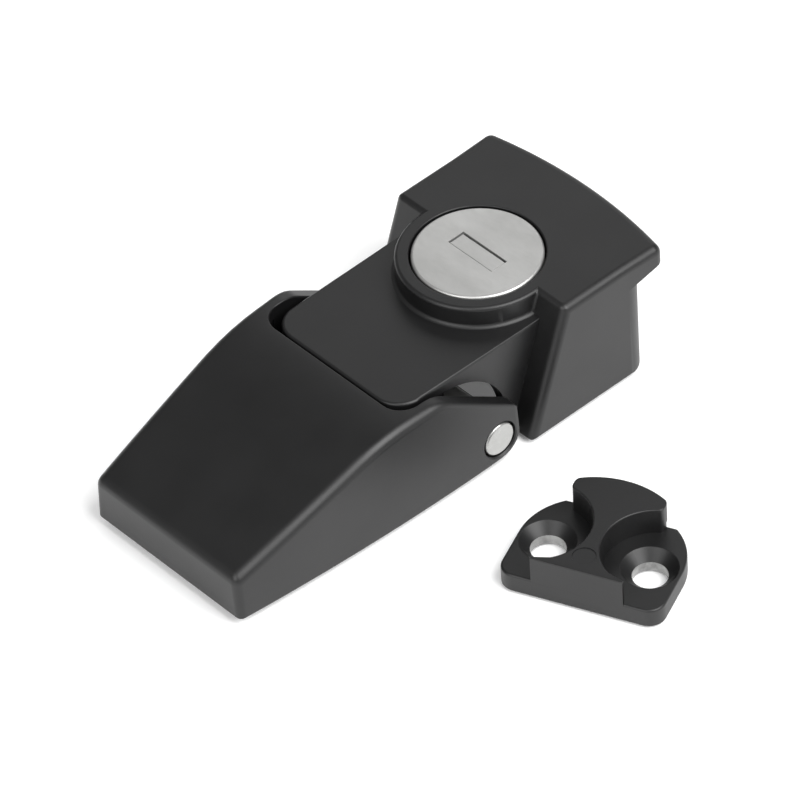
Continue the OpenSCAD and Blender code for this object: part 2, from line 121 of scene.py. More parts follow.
# draw head
neck_x = head_low.x
neck_top = 21.2
neck_wall = 2.4
neck_half_w = 16.2
neck_corner = 5.4
skirt_in = 13.7
hood_top = head_high.z
hood_end_x = head_high.x
hood_half_w = 21.2
hood_foot = head_low.z
hood_wall = 2.5
hood_roof = 3
foot_wall = 2.8
shoulder_wall = 1.6
hood_corner = 4.5
brim_corner = 1.4
brim_flare = 0.3
near_wall_x = 40.6
hood_slope_x = 49.8
far_wall_x = 68.8
brim_r = 96
brim_under = 19.6
brim_lip = 21.8
boss_r = 14.3
boss_foot = 14.2
well_r = 11.8
arch_r = 14.8
arch_x = 25.1
fillet_r = 1.0
fillet_sink = 0.96
lug_in = 8.4
lug_out = 13.5
bead_half_w = 10
bead_top = 4.4
sleeve_screw_z = 17.5
link_boss_r = 3.6
link_bore_r = 2.0
bore_r = 3.25
pin_gap_r = 3.58
head_round = 1.6
room_low = Vector((41.6, -15.2, -1))
room_high = Vector((62.5, 15.2, 4.2))
bead_l = 2.3
bead_gap = 0.15

# keeper, in its own axes before it is turned
keeper_yaw = math.radians(24)
keeper_front = Vector((18.8, -55.1, 0))
keeper_l = 20
keeper_half_w = 14.75
keeper_t = 3.7
post_h = keeper_high.z
post_arc_x = 22.9
post_round = 16
post_half_w = 8.3
post_tip_t = 0.57
waist_x = 9.2
waist_y = 10.56
waist_r = 9.3
hook_under = 4.9
front_corner_r = 3.0
back_corner_x = 10.5
back_corner_r = 12
hole_x = 9.8
hole_y = 9.2
hole_r = 3.1
sink_r = 4.95
plate_round = 0.45
fan_start_x = 17.5
fan_corner_r = 0.9
mark_x = 3.7
mark_r = 2.0
mark_depth = 0.15

# lock
cap_wall = 0.6
window_low = Vector((lock.x - 1.71, -5.32, 20))
window_high = Vector((lock.x + 1.9, 5.53, 30))
flap_t = 0.7
knuckle_half_l = 3.8
cam_z = washer_high.z
cam_hub_r = 5.2
cam_w = 6.4
finger_t = 2.2

# base
base_t = 1.9
base_lug_in = 13.9
base_lug_step = 4.1
spine_half_w = 7.4
window_start = 19.6
lug_foot_x = 28.9
lug_r = 4.7
screw_dx = 18
screw_dy = 16
screw_r = 2.25
rib_w = 1.6
rib_top = 4.4

# camera, in degrees and metres
camera_angles = (40.08, 43.41, -3.91)
camera_distance = 1.254
camera_lens = 329.2
camera_aim = Vector((31.19, 1.69, 1.8)) / MM

# ---------------------------------------------------------------- modelling tools


def deselect():
    bpy.ops.object.select_all(action="DESELECT")


def make_active(obj):
    deselect()
    obj.select_set(True)
    bpy.context.view_layer.objects.active = obj


def block(name, low, high):
    """A cube stretched between two corners."""
    low, high = Vector(low), Vector(high)
    deselect()
    bpy.ops.mesh.primitive_cube_add(size=1, location=(low + high) / 2)
    obj = bpy.context.object
    obj.name = name
    obj.scale = high - low
    bpy.ops.object.transform_apply(location=True, rotation=True, scale=True)
    return obj


def rod(name, start, end, radius, end_radius=None, sides=64):
    """A cylinder or cone between two points."""
    start, end = Vector(start), Vector(end)
    deselect()
    bpy.ops.mesh.primitive_cone_add(
        vertices=sides, radius1=radius, radius2=radius if end_radius is None else end_radius,
        depth=(end - start).length, location=(start + end) / 2)
    obj = bpy.context.object
    obj.name = name
    obj.rotation_euler = (end - start).to_track_quat("Z", "Y").to_euler()
    bpy.ops.object.transform_apply(location=True, rotation=True, scale=True)
    return obj


def edit(obj):
    make_active(obj)
    bpy.ops.object.mode_set(mode="EDIT")


def leave():
    bpy.ops.object.mode_set(mode="OBJECT")


def pick(kind, test):
    """In edit mode, selects the vertices, edges or faces that pass the test."""
    bpy.ops.mesh.select_mode(type=kind)
    bpy.ops.mesh.select_all(action="DESELECT")
    data = bpy.context.object.data
    shape = bmesh.from_edit_mesh(data)
    for item in {"VERT": shape.verts, "EDGE": shape.edges, "FACE": shape.faces}[kind]:
        if test(item):
            item.select_set(True)
    shape.select_flush_mode()
    bmesh.update_edit_mesh(data)


def pick_points(low, high):
    """In edit mode, selects the vertices inside a box."""
    pick("VERT", lambda v: all(low[i] - TINY <= v.co[i] <= high[i] + TINY for i in range(3)))


def pick_sharp(test, angle=25):
    """In edit mode, selects the edges that pass the test and that turn by more than the angle."""
    pick("EDGE", lambda e: len(e.link_faces) == 2 and e.calc_face_angle() > math.radians(angle) and test(e))


def middle(edge):
    return (edge.verts[0].co + edge.verts[1].co) / 2


def along(edge):
    return (edge.verts[1].co - edge.verts[0].co).normalized()


def slice_at(places, normal=(1, 0, 0)):
    """In edit mode, cuts the whole mesh across at each place along the normal."""
    normal = Vector(normal)
    for place in places:
        bpy.ops.mesh.select_all(action="SELECT")
        bpy.ops.mesh.bisect(plane_co=normal * place, plane_no=normal)


def round_edges(test, width, segments=6):
    """In edit mode, rounds the sharp edges that pass the test."""
    pick_sharp(test)
    bpy.ops.mesh.bevel(offset=width, segments=segments, affect="EDGES", clamp_overlap=False)


def weigh_edges(test, weight):
    """In edit mode, gives the sharp edges that pass the test a bevel weight."""
    pick_sharp(test)
    bpy.ops.transform.edge_bevelweight(value=-1)
    bpy.ops.transform.edge_bevelweight(value=weight)


def clear_weights():
    """In edit mode, takes every bevel weight away."""
    bpy.ops.mesh.select_all(action="SELECT")
    bpy.ops.transform.edge_bevelweight(value=-1)


def apply_modifier(obj, kind, **settings):
    make_active(obj)
    bpy.ops.object.modifier_add(type=kind)
    modifier = obj.modifiers[-1]
    for key, value in settings.items():
        setattr(modifier, key, value)
    bpy.ops.object.modifier_apply(modifier=modifier.name)


def combine(obj, tool, operation):
    apply_modifier(obj, "BOOLEAN", operation=operation, solver="EXACT", object=tool)
    bpy.data.objects.remove(tool)
    return obj


def cut(obj, *tools):
    for tool in tools:
        combine(obj, tool, "DIFFERENCE")
    return obj


def join(obj, *tools):
    for tool in tools:
        combine(obj, tool, "UNION")
    return obj


def merge_flat(obj, angle=0.2):
    """Joins faces that lie in one plane, and drops points on straight edges."""
    edit(obj)
    bpy.ops.mesh.select_all(action="SELECT")
    bpy.ops.mesh.remove_doubles(threshold=0.002)
    bpy.ops.mesh.dissolve_limited(angle_limit=math.radians(angle))
    leave()


def soften(obj, width, segments=3, angle=35):
    """Rounds every edge sharper than the angle."""
    apply_modifier(obj, "BEVEL", width=width, segments=segments, limit_method="ANGLE",
                   angle_limit=math.radians(angle), use_clamp_overlap=False, miter_outer="MITER_ARC")


def soften_weighted(obj, width, segments=5):
    """Rounds the edges that have a bevel weight, in proportion to it."""
    apply_modifier(obj, "BEVEL", width=width, segments=segments, limit_method="WEIGHT",
                   use_clamp_overlap=False)


def finish_piece(obj, name, material, body, slot, *nodes):
    """Shades a finished piece, brings it to metres, and ties it to its body and CAD nodes."""
    make_active(obj)
    obj.name = obj.data.name = name
    obj.scale = (1 / MM,) * 3
    bpy.ops.object.transform_apply(location=True, rotation=True, scale=True)
    edit(obj)
    bpy.ops.mesh.select_all(action="SELECT")
    bpy.ops.mesh.normals_make_consistent(inside=False)
    leave()
    bpy.ops.object.shade_smooth_by_angle(angle=math.radians(32))
    apply_modifier(obj, "WEIGHTED_NORMAL", keep_sharp=True, weight=80)
    obj.data.materials.clear()
    obj.data.materials.append(material)
    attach(obj, body)
    if nodes:
        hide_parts(*nodes)
    return obj


# ---------------------------------------------------------------- materials


def new_material(name):
    """An empty material with its Principled shader, and shortcuts to its tree."""
    material = bpy.data.materials.new(name)
    material.use_nodes = True
    return material, material.node_tree, material.node_tree.nodes["Principled BSDF"]


def object_coords(tree):
    return tree.nodes.new("ShaderNodeTexCoord").outputs["Object"]


def noise(tree, coords, scale, detail=3.0, roughness=0.5):
    node = tree.nodes.new("ShaderNodeTexNoise")
    node.inputs["Scale"].default_value = scale
    node.inputs["Detail"].default_value = detail
    node.inputs["Roughness"].default_value = roughness
    tree.links.new(coords, node.inputs["Vector"])
    return node.outputs["Fac"]


def ramp(tree, value, low, high, from_low=0.3, from_high=0.7):
    """Maps a 0 to 1 value to a range of numbers."""
    node = tree.nodes.new("ShaderNodeMapRange")
    node.inputs["From Min"].default_value = from_low
    node.inputs["From Max"].default_value = from_high
    node.inputs["To Min"].default_value = low
    node.inputs["To Max"].default_value = high
    tree.links.new(value, node.inputs["Value"])
    return node.outputs["Result"]


def mix_colors(tree, value, dark, light):
    node = tree.nodes.new("ShaderNodeMix")
    node.data_type = "RGBA"
    node.inputs["A"].default_value = (*dark, 1)
    node.inputs["B"].default_value = (*light, 1)
    tree.links.new(value, node.inputs["Factor"])
    return node.outputs["Result"]


def bump(tree, height, strength, distance, under=None):
    node = tree.nodes.new("ShaderNodeBump")
    node.inputs["Strength"].default_value = strength
    node.inputs["Distance"].default_value = distance
    tree.links.new(height, node.inputs["Height"])
    if under is not None:
        tree.links.new(under, node.inputs["Normal"])
    return node.outputs["Normal"]


def powder_coat():
    """Satin black powder coat: fine orange peel, with a slightly uneven sheen."""
    material, tree, shader = new_material("black_powder_coat")
    coords = object_coords(tree)
    patches = noise(tree, coords, 90, 2)
    peel = noise(tree, coords, 1400, 2)
    grain = noise(tree, coords, 4200, 1)
    color = mix_colors(tree, patches, (0.0040, 0.0040, 0.0042), (0.0062, 0.0062, 0.0064))
    tree.links.new(color, shader.inputs["Base Color"])
    tree.links.new(ramp(tree, patches, 0.40, 0.46), shader.inputs["Roughness"])
    normal = bump(tree, peel, 0.12, 0.00006)
    normal = bump(tree, grain, 0.10, 0.00002, normal)
    tree.links.new(normal, shader.inputs["Normal"])
    return material


def metal(name, dark, light, rough, scale, bump_strength, stretch=(1, 1, 1)):
    """A worked metal: uneven tone, and marks drawn out along the directions that stretch makes small."""
    material, tree, shader = new_material(name)
    mapping = tree.nodes.new("ShaderNodeMapping")
    mapping.inputs["Scale"].default_value = stretch
    tree.links.new(object_coords(tree), mapping.inputs["Vector"])
    coords = mapping.outputs["Vector"]
    marks = noise(tree, coords, scale, 4, 0.6)
    tone = noise(tree, coords, scale / 6, 3)
    shader.inputs["Metallic"].default_value = 0.85
    tree.links.new(mix_colors(tree, tone, dark, light), shader.inputs["Base Color"])
    tree.links.new(ramp(tree, marks, rough[0], rough[1]), shader.inputs["Roughness"])
    tree.links.new(bump(tree, marks, bump_strength, 0.00003), shader.inputs["Normal"])
    return material


def seal_rubber():
    material, tree, shader = new_material("seal_rubber")
    coords = object_coords(tree)
    fine = noise(tree, coords, 2500, 3)
    color = mix_colors(tree, fine, (0.012, 0.012, 0.012), (0.028, 0.028, 0.028))
    tree.links.new(color, shader.inputs["Base Color"])
    tree.links.new(ramp(tree, fine, 0.55, 0.75), shader.inputs["Roughness"])
    tree.links.new(bump(tree, fine, 0.2, 0.00003), shader.inputs["Normal"])
    return material


black_coat = powder_coat()
cap_steel = metal("scuffed_cap_steel", (0.42, 0.42, 0.41), (0.62, 0.62, 0.61),
                  (0.36, 0.52), 1100, 0.6, (1, 0.45, 1))
pin_steel = metal("ground_pin_steel", (0.36, 0.36, 0.35), (0.46, 0.46, 0.45),
                  (0.25, 0.42), 1500, 0.15, (1, 0.2, 1))
plated_steel = metal("plated_steel", (0.46, 0.46, 0.45), (0.60, 0.60, 0.58), (0.30, 0.45), 700, 0.15)
spring_wire = metal("spring_wire", (0.30, 0.30, 0.31), (0.44, 0.44, 0.45), (0.28, 0.40), 2500, 0.10)
cast_zinc = metal("cast_zinc", (0.38, 0.39, 0.40), (0.52, 0.53, 0.54), (0.42, 0.60), 600, 0.35)
bare_zinc = metal("bare_hole_zinc", (0.10, 0.10, 0.10), (0.62, 0.62, 0.61), (0.35, 0.65), 2600, 0.9)
wafer_brass = metal("wafer_brass", (0.55, 0.40, 0.16), (0.75, 0.58, 0.27),
                    (0.28, 0.44), 1200, 0.20, (1, 0.15, 1))
rubber = seal_rubber()

# ---------------------------------------------------------------- camera and light


def place_camera():
    """A long lens, seen from the near left and well above."""
    azimuth, elevation, roll = (math.radians(a) for a in camera_angles)
    back = Vector((-math.sin(azimuth) * math.cos(elevation), -math.cos(azimuth) * math.cos(elevation),
                   math.sin(elevation)))
    right = back.cross(Vector((0, 0, -1))).normalized()
    up = right.cross(-back).normalized()
    side = math.cos(roll) * right + math.sin(roll) * up
    top = math.cos(roll) * up - math.sin(roll) * right
    bpy.ops.object.camera_add()
    camera = bpy.context.object
    camera.data.sensor_width = 36
    camera.data.lens = camera_lens
    camera.data.clip_start, camera.data.clip_end = 0.05, 20
    turn = Matrix((side, top, back)).transposed()
    camera.matrix_world = Matrix.Translation(camera_aim + back * camera_distance) @ turn.to_4x4()
    bpy.context.scene.camera = camera


def add_lamp(name, place, target, size, power):
    bpy.ops.object.light_add(type="AREA", location=place)
    lamp = bpy.context.object
    lamp.name = name
    lamp.data.size = size
    lamp.data.energy = power
    lamp.rotation_euler = (Vector(target) - Vector(place)).to_track_quat("-Z", "Y").to_euler()


def build_studio():
    scene = bpy.context.scene
    scene.view_settings.view_transform = "Standard"
    world = bpy.data.worlds.new("studio_white")
    scene.world = world
    world.use_nodes = True
    world.node_tree.nodes["Background"].inputs["Color"].default_value = (1, 1, 1, 1)
    world.node_tree.nodes["Background"].inputs["Strength"].default_value = 0.27
    bpy.ops.mesh.primitive_plane_add(size=8, location=(0, 0, -0.0005))
    floor = bpy.context.object
    floor.name = "studio_floor"
    material, _, shader = new_material("studio_paper")
    shader.inputs["Base Color"].default_value = (0.95, 0.95, 0.95, 1)
    shader.inputs["Roughness"].default_value = 0.9
    shader.inputs["Emission Color"].default_value = (1, 1, 1, 1)
    shader.inputs["Emission Strength"].default_value = 0.12
    floor.data.materials.append(material)
    add_lamp("near_softbox", (0.25, -0.90, 1.15), (0.02, 0, 0), 1.2, 32)
    add_lamp("left_softbox", (-1.0, -0.2, 0.75), (0.02, 0, 0), 0.9, 9)
    add_lamp("far_softbox", (0.95, 0.75, 0.75), (0.04, 0, 0), 0.8, 2.2)


place_camera()
build_studio()

# ---------------------------------------------------------------- lever


def lever_half_at(x):
    """Half width of the lever's bowed plan, eased round the ends of the ears."""
    half = min(lever_half_w, lever_half_w + bow_rise - (x - bow_x) ** 2 / (2 * bow_r))
    past = x - ear_end_x + ear_ease
    if past > 0:
        half -= ear_ease - math.sqrt(max(ear_ease ** 2 - past ** 2, 0))
    return half


def lever_top_at(x):
    """Height of the lever's top face: ramp, crown, then the slope down the ears to their round corner."""
    ramp_end = crown_x - crown_r * math.sin(crown_turn)
    ramp_top = lever_top - crown_r * (1 - math.cos(crown_turn))
    if x <= ramp_end:
        return tip_top + (ramp_top - tip_top) * (x - tip_x) / (ramp_end - tip_x)
    if x <= crown_x:
        return lever_top - crown_r + math.sqrt(crown_r ** 2 - (crown_x - x) ** 2)
    if x <= bend_start:
        return lever_top
    if x <= bend_end:
        return lever_top - bend_r + math.sqrt(bend_r ** 2 - (x - bend_start) ** 2)
    if x <= ear_corner_x:
        return lever_top - (x - ear_slope_x) * math.tan(ear_slope)
    center_x = ear_end_x - ear_corner_r
    center_z = lever_top_at(ear_corner_x) - ear_corner_r * math.cos(ear_slope)
    return center_z + math.sqrt(max(ear_corner_r ** 2 - (x - center_x) ** 2, 0))


def lever_foot_at(x):
    """Height of the lever's lower edge, rounded about the pivot."""
    if x <= pivot.x:
        share = (x - tip_x) / (pivot.x - tip_x)
        return tip_gap + (ear_foot - tip_gap) * share - 4 * foot_sag * share * (1 - share)
    return pivot.z - math.sqrt(max(ear_round ** 2 - (x - pivot.x) ** 2, 0))


def loft(name, stations, half, top, foot, draft):
    """A block cut across at stations, each cross-section then moved to its height and width."""
    obj = block(name, (stations[0], -1, 0), (stations[-1], 1, 1))
    edit(obj)
    slice_at(stations[1:-1])
    for x in stations:
        for level, height, width in ((1, top(x), half(x) - draft), (0, foot(x), half(x))):
            pick("VERT", lambda v: abs(v.co.x - x) < TINY and abs(v.co.z - level) < TINY
                 and abs(abs(v.co.y) - 1) < TINY)
            bpy.ops.transform.resize(value=(1, width, 1), center_override=(x, 0, level))
            # park the section out of reach of the next test, then set its height
            bpy.ops.transform.translate(value=(0, 0, height - level))
    leave()
    return obj


def build_lever():
    ramp = [tip_x + i * (crown_x - tip_x) / 13 for i in range(14)]
    crown = [(crown_x + bend_start) / 2]
    bend = [bend_start + (bend_end - bend_start) * i / 4 for i in range(5)]
    slope = [26, 28.5, 31, pivot.x]
    turn = [pivot.x + ear_round * math.sin(math.radians(a)) for a in (14, 28, 42, 55)]
    end = [ear_corner_x, ear_end_x - 0.3, ear_end_x - 0.14, ear_end_x - 0.04, ear_end_x]
    stations = ramp + crown + bend + slope + turn + end
    lever = loft("lever_shell", stations, lever_half_at, lever_top_at, lever_foot_at, 0.4)
    edit(lever)

    def on_side(e):
        return abs(middle(e).y) > side_y

    def lengthwise(e):
        return abs(along(e).y) < 0.3 and abs(e.verts[0].co.x - e.verts[1].co.x) > 0.02

    def upper(e):
        return middle(e).z > (lever_top_at(middle(e).x) + lever_foot_at(middle(e).x)) / 2

    at_tip = lambda e: abs(middle(e).x - tip_x) < TINY
    clear_weights()
    for start, end, weight in ((tip_x - 1, 18, 1.0), (18, 20, 0.9), (20, 21.5, 0.7), (21.5, 23, 0.55),
                               (23, 25, 0.42), (25, 36, 0.36), (36, 40, 0.15)):
        weigh_edges(lambda e: on_side(e) and lengthwise(e) and upper(e)
                    and start < middle(e).x <= end, weight)
    weigh_edges(lambda e: on_side(e) and lengthwise(e) and not upper(e), 0.3)
    weigh_edges(lambda e: at_tip(e) and on_side(e), 0.7)
    weigh_edges(lambda e: at_tip(e) and not on_side(e) and upper(e), 0.8)
    weigh_edges(lambda e: at_tip(e) and not on_side(e) and not upper(e), 0.3)
    leave()
    soften_weighted(lever, lever_round)

    notch = block("notch", (notch_x, -ear_in, -5), (ear_end_x + 10, ear_in, 40))
    edit(notch)
    round_edges(lambda e: abs(along(e).z) > 0.9 and middle(e).x < notch_x + TINY, notch_corner, 8)
    leave()
    cut(lever, notch)
    inner = [tip_x + lever_wall + i * (notch_x + 3 - tip_x - lever_wall) / 12 for i in range(13)]
    hollow = loft("hollow", inner, lambda x: min(lever_half_at(x) - lever_wall, ear_in),
                  lambda x: lever_top_at(x) - lever_wall, lambda x: -3, 0)
    cut(lever, hollow)
    for half, radius in ((reach_half_w, notch_reach), (neck_half_w + 0.2, corner_reach)):
        cut(lever, rod("reach", (link.x, -half, link.z), (link.x, half, link.z), radius, sides=160))
    for side in (-1, 1):
        boss = rod("link_boss", (link.x, side * link_boss_in, link.z),
                   (link.x, side * (ear_in + 1), link.z), link_boss_r)
        cut(boss, block("boss_foot", (link.x - 6, -30, -5), (link.x + 6, 30, ear_foot)))
        join(lever, boss)
    cut(lever, rod("pin_bore", (pivot.x, -30, pivot.z), (pivot.x, 30, pivot.z), bore_r, sides=96))
    for side in (-1, 1):
        cut(lever,
            rod("pin_gap", (pivot.x, side * (lever_half_w + 1), pivot.z),
                (pivot.x, side * (lever_half_w - gap_depth), pivot.z), pin_gap_r, sides=90),
            rod("pin_sink", (pivot.x, side * (lever_half_w + 0.3), pivot.z),
                (pivot.x, side * (lever_half_w - 0.5), pivot.z),
                pin_gap_r + 0.6, pin_gap_r - 0.2, sides=80))
    cut(lever, rod("link_bore", (link.x, -link_bore_end, link.z), (link.x, 30, link.z), link_bore_r))

    def on_notch_rim(v):
        x, y = v.co.x, abs(v.co.y)
        corner = math.hypot(x - notch_x - notch_corner, y - ear_in + notch_corner)
        in_corner = (x < notch_x + notch_corner and y > ear_in - notch_corner
                     and abs(corner - notch_corner) < 0.06)
        straight = abs(x - notch_x) < TINY and y <= ear_in - notch_corner + TINY
        beside = abs(y - ear_in) < TINY and x >= notch_x + notch_corner - TINY
        return (in_corner or straight or beside) and abs(v.co.z - lever_top_at(x)) < 0.08

    edit(lever)
    clear_weights()
    weigh_edges(lambda e: all(on_notch_rim(v) for v in e.verts), 1)
    leave()
    soften_weighted(lever, 0.3, 4)
    return finish_piece(lever, "lever_casting", black_coat, "lever", "black_coat", "lever")


# ---------------------------------------------------------------- draw head


def hood_pocket(top):
    """The space inside the hood up to a height, behind its slanted near wall."""
    lean = (hood_slope_x + shoulder_wall - near_wall_x - foot_wall) / (hood_top - hood_roof - hood_foot)
    start = near_wall_x + foot_wall - lean
    low = (start, -hood_half_w + hood_wall, hood_foot - 1)
    pocket = block("pocket", low, (far_wall_x - hood_wall + 0.1, hood_half_w - hood_wall, top))
    edit(pocket)
    pick_points((start, -30, top), (start, 30, top))
    bpy.ops.transform.translate(value=(lean * (top - hood_foot + 1), 0, 0))
    leave()
    return pocket


def build_neck():
    """Neck with its side skirts, arched over the base, and the lugs for the link pin."""
    neck = block("neck", (neck_x, -neck_half_w, hood_foot), (hood_slope_x + 2, neck_half_w, neck_top))
    edit(neck)
    round_edges(lambda e: abs(along(e).z) > 0.9 and middle(e).x < neck_x + TINY, neck_corner, 10)
    leave()
    under = neck_top - neck_wall
    cut(neck,
        block("neck_hollow", (neck_x + 2, -skirt_in, -5), (hood_slope_x + 5, skirt_in, under)),
        block("skirt_end", (lock.x, -30, -5), (hood_slope_x + 5, 30, under)),
        rod("arch", (arch_x, -30, link.z), (arch_x, 30, link.z), arch_r, sides=128),
        hood_pocket(under))
    for side in (-1, 1):
        inner, outer = side * lug_in, side * lug_out
        lug = rod("lug", (link.x, inner, link.z), (link.x, outer, link.z), link_boss_r)
        join(lug, block("lug_web", (link.x - link_boss_r, min(inner, outer), link.z),
                        (link.x + link_boss_r, max(inner, outer), under + 1)))
        join(neck, lug)
    return neck


def build_hood():
    """Hood with its slanted near wall, bowed brim and the space inside it."""
    hood = block("hood", (near_wall_x, -hood_half_w, hood_foot), (far_wall_x, hood_half_w, hood_top))
    edit(hood)
    pick_points((near_wall_x, -30, hood_top), (near_wall_x, 30, hood_top))
    bpy.ops.transform.translate(value=(hood_slope_x - near_wall_x, 0, 0))
    round_edges(lambda e: abs(along(e).z) > 0.9 and middle(e).x > far_wall_x - TINY, hood_corner, 8)
    leave()
    brim = block("brim", (far_wall_x - 6, -hood_half_w, brim_under),
                 (far_wall_x + 1, hood_half_w, hood_top))
    edit(brim)
    slice_at([hood_half_w * i / 12 for i in range(-11, 12)], (0, 1, 0))
    for i in range(-12, 13):
        y = hood_half_w * i / 12
        reach = hood_end_x - brim_r + math.sqrt(brim_r ** 2 - y ** 2)
        pick_points((far_wall_x + 1, y, 0), (far_wall_x + 1, y, 40))
        bpy.ops.transform.translate(value=(reach - far_wall_x - 1, 0, 0))
        pick_points((reach, y, brim_under), (reach, y, brim_under))
        bpy.ops.transform.translate(value=(0, 0, brim_lip - brim_under))
    for side in (-1, 1):
        edge_y = side * hood_half_w
        pick_points((far_wall_x, edge_y - TINY, 0), (hood_end_x, edge_y + TINY, 40))
        bpy.ops.transform.translate(value=(0, side * brim_flare, 0))
    round_edges(lambda e: abs(along(e).z) > 0.8 and middle(e).x > far_wall_x
                and abs(middle(e).y) > hood_half_w + brim_flare - TINY, brim_corner, 6)
    leave()
    join(hood, brim)
    mouth = block("mouth", (near_wall_x - 2, -skirt_in, -5), (lock.x, skirt_in, neck_top - neck_wall))
    return cut(hood, hood_pocket(hood_top - hood_roof), mouth)


def boss_fillet():
    """Hollow blend between the foot of the lock boss and the neck."""
    reach = fillet_r * fillet_sink
    ring = rod("boss_fillet", (lock.x, 0, neck_top - 1), (lock.x, 0, neck_top + reach), boss_r + reach,
               sides=96)
    deselect()
    bpy.ops.mesh.primitive_torus_add(location=(lock.x, 0, neck_top + reach), major_radius=boss_r + reach,
                                     minor_radius=fillet_r, major_segments=96, minor_segments=48)
    cut(ring, bpy.context.object)
    return cut(ring, rod("boss_core", (lock.x, 0, 0), (lock.x, 0, 40), boss_r - 1, sides=96))


def build_head():
    head = build_neck()
    boss = rod("boss", (lock.x, 0, boss_foot), (lock.x, 0, hood_top), boss_r, sides=96)
    bead = block("bead", (far_wall_x - hood_wall - bead_l, -bead_half_w, hood_foot + bead_gap),
                 (far_wall_x - 1, bead_half_w, bead_top))
    join(head, build_hood(), boss, bead)
    merge_flat(head)
    edit(head)

    def on_top(e):
        return all(v.co.z > hood_top - TINY for v in e.verts)

    def on_boss(e):
        return all(abs(math.hypot(v.co.x - lock.x, v.co.y) - boss_r) < 0.05 for v in e.verts)

    def on_neck(e):
        return all(abs(v.co.z - neck_top) < TINY for v in e.verts) and e.is_convex

    def on_hood_side(e):
        side = all(abs(abs(v.co.y) - hood_half_w) < TINY for v in e.verts)
        return side and (along(e).z > 0.4 or along(e).z < -0.4) and middle(e).x < hood_slope_x

    def in_crease(e):
        lean = (hood_slope_x - near_wall_x) / (hood_top - hood_foot)
        on_slope = all(abs(v.co.x - near_wall_x - (v.co.z - hood_foot) * lean) < TINY for v in e.verts)
        beside_neck = all(abs(abs(v.co.y) - neck_half_w) < TINY for v in e.verts)
        return on_slope and (beside_neck or on_boss(e)) and not e.is_convex

    def on_hood_foot(e):
        place = middle(e)
        outside = (abs(place.y) > hood_half_w - TINY or place.x < near_wall_x + TINY
                   or place.x > far_wall_x - 1)
        return all(v.co.z < hood_foot + TINY for v in e.verts) and place.x > near_wall_x - TINY and outside

    clear_weights()
    weigh_edges(on_top, 1.0)
    weigh_edges(lambda e: on_top(e) and on_boss(e), 0.45)
    weigh_edges(lambda e: on_top(e) and not on_boss(e) and middle(e).x < hood_slope_x + TINY, 0.5)
    weigh_edges(lambda e: on_neck(e) and middle(e).x < hood_slope_x - 4, 0.4)
    weigh_edges(on_hood_side, 1.1)
    weigh_edges(on_hood_foot, 0.25)
    weigh_edges(in_crease, 0.3)
    leave()
    soften_weighted(head, head_round)
    join(head, boss_fillet())
    cut(head,
        rod("well", (lock.x, 0, 0), (lock.x, 0, 40), well_r, sides=192),
        rod("link_bore", (link.x, -30, link.z), (link.x, 30, link.z), link_bore_r + 0.05),
        block("keeper_room", room_low, room_high),
        rod("sleeve_screw_bore", (lock.x + well_r - 1, 0, sleeve_screw_z),
            (lock.x + boss_r + 1, 0, sleeve_screw_z), 1))
    edit(head)
    clear_weights()

    def at_well(e):
        return all(abs(math.hypot(v.co.x - lock.x, v.co.y) - well_r) < 0.02 and v.co.z > hood_top - TINY
                   for v in e.verts)

    weigh_edges(at_well, 1)
    leave()
    soften_weighted(head, 0.22, 3)
    return finish_piece(head, "head_casting", black_coat, "head", "black_coat", "draw_head")


# ---------------------------------------------------------------- keeper


def keeper_half_at(x):
    """Half width of the keeper's plate: eased front corners, large round back corners."""
    if x < front_corner_r:
        return keeper_half_w - front_corner_r + math.sqrt(front_corner_r ** 2 - (front_corner_r - x) ** 2)
    if x > back_corner_x:
        return keeper_half_w - back_corner_r + math.sqrt(back_corner_r ** 2 - (x - back_corner_x) ** 2)
    return keeper_half_w


def keeper_plate():
    front = [front_corner_r * (1 - math.cos(math.radians(a))) for a in range(0, 90, 10)]
    back_turn = math.asin((keeper_l - back_corner_x) / back_corner_r)
    back = [back_corner_x + back_corner_r * math.sin(back_turn * i / 16) for i in range(17)]
    plate = loft("keeper_plate", front + [front_corner_r] + back, keeper_half_at,
                 lambda x: keeper_t, lambda x: 0, 0)
    merge_flat(plate)
    edit(plate)
    round_edges(lambda e: all(v.co.z > keeper_t - TINY for v in e.verts), plate_round, 5)
    round_edges(lambda e: all(v.co.z < TINY for v in e.verts), 0.25, 2)
    leave()
    return plate


def post_half_at(x):
    """Half width of the post: blunt front, waist between the screws, fan-shaped hook."""
    half = post_half_w
    if x > post_tip_t and abs(x - waist_x) < waist_r:
        half = min(half, waist_y - math.sqrt(waist_r ** 2 - (x - waist_x) ** 2))
    fan = x - post_arc_x + post_round
    if fan > 0:
        half = min(half, math.sqrt(post_round ** 2 - fan ** 2))
    return half


def keeper_post():
    """Post with a waist between the screws and a hook that overhangs the plate."""
    far_turn = math.pi - math.asin((waist_y - post_half_w) / waist_r)
    near_turn = math.acos((waist_x - 1.6) / waist_r)
    fan_turn = math.asin(post_half_w / post_round)
    waist = [waist_x - waist_r * math.cos(near_turn + (far_turn - near_turn) * i / 36) for i in range(37)]
    fan = [post_arc_x - post_round + post_round * math.cos(fan_turn * (1 - i / 13)) for i in range(13)]
    post = loft("keeper_post", [0.02, post_tip_t] + waist + fan, post_half_at,
                lambda x: post_h, lambda x: 1, 0)
    merge_flat(post)
    edit(post)
    # with a rounding of 1.2 here, joining the post to the plate gives an empty mesh
    round_edges(lambda e: abs(along(e).z) > 0.9 and fan_start_x < middle(e).x < post_arc_x - 1,
                fan_corner_r, 5)
    leave()
    cut(post, block("hook_gap", (keeper_l - 0.4, -20, -1), (40, 20, hook_under)))
    merge_flat(post)
    edit(post)
    round_edges(lambda e: all(v.co.z > post_h - TINY for v in e.verts), 0.25, 3)
    leave()
    return post


